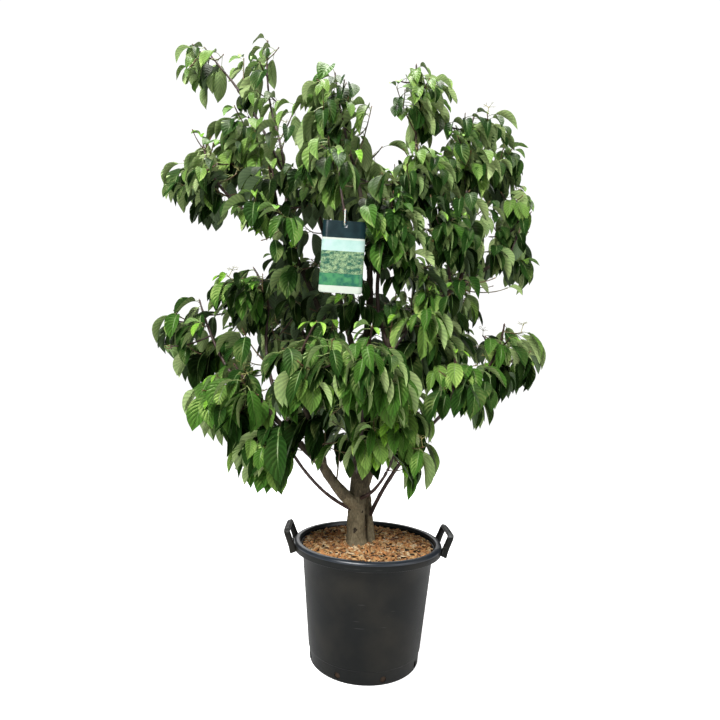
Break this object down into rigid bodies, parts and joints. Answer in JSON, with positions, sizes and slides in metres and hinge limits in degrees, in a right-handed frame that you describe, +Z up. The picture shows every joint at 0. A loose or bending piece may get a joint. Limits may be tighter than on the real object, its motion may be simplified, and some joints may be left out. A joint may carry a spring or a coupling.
{
  "type": "pagoda giant dogwood",
  "caption": "Young many-stemmed pagoda giant dogwood with tiered drooping foliage, in a round black nursery pot with loop handles and bark mulch, with a bare hanging label.",
  "frame": {"origin": "centre of the pot's flat underside", "axes": "+Z up, the plant's front faces -Y, and +X is to the right as the front is seen"},
  "size_m": [1.3119, 0.9613, 2.1188],
  "materials": {
    "pot": "satin moulded black plastic",
    "mulch": "coarse bark chips",
    "bark": "grey-brown bark, lightly cracked",
    "young_bark": "smooth red-brown young bark",
    "leaf": "half-gloss dark green blades with paler undersides",
    "label": "glossy printed card",
    "strap": "translucent white band"
  },
  "bodies": {
    "root": {"pot": "pot", "mulch": "mulch", "handle_left": "pot", "handle_right": "pot", "trunk": "bark", "stem_second": "bark", "leader_centre": "bark", "leader_top": "bark", "limb_inner_left": "bark", "bough_left": "bark", "bough_left_outer": "bark", "bough_left_front": "bark", "bough_left_inner": "young_bark", "bough_left_far": "young_bark", "shoot_left_low": "young_bark", "limb_right": "bark", "leader_right": "bark", "limb_right_spire": "young_bark", "shoot_spire_right": "young_bark", "bough_right_low": "young_bark", "shoot_front_low": "young_bark", "bough_front": "young_bark", "bough_upper_left": "young_bark", "shoot_spire_left": "young_bark", "shoot_arching": "young_bark", "bough_right_upper": "young_bark", "shoot_label": "young_bark", "bough_back_left": "bark", "bough_back_right": "bark", "bough_back_low": "bark", "foliage_sprig_left": "leaf", "foliage_spire_left": "leaf", "foliage_top": "leaf", "foliage_spire_right": "leaf", "foliage_upper_right": "leaf", "foliage_spire_foot": "leaf", "foliage_far_right": "leaf", "foliage_far_upper_left": "leaf", "foliage_upper_left": "leaf", "foliage_left_of_label": "leaf", "foliage_label_shoot": "leaf", "foliage_right_of_label": "leaf", "foliage_right": "leaf", "foliage_right_low": "leaf", "foliage_right_inner": "leaf", "foliage_left": "leaf", "foliage_far_left": "leaf", "foliage_low_left": "leaf", "foliage_low_left_foot": "leaf", "foliage_front_left": "leaf", "foliage_front": "leaf", "foliage_front_low": "leaf", "foliage_far_right_low": "leaf", "foliage_right_foot": "leaf", "foliage_back_top": "leaf", "foliage_back_left": "leaf", "foliage_back_right": "leaf", "foliage_back_low": "leaf", "label": "label", "label_strap": "strap"}
  },
  "joints": []
}
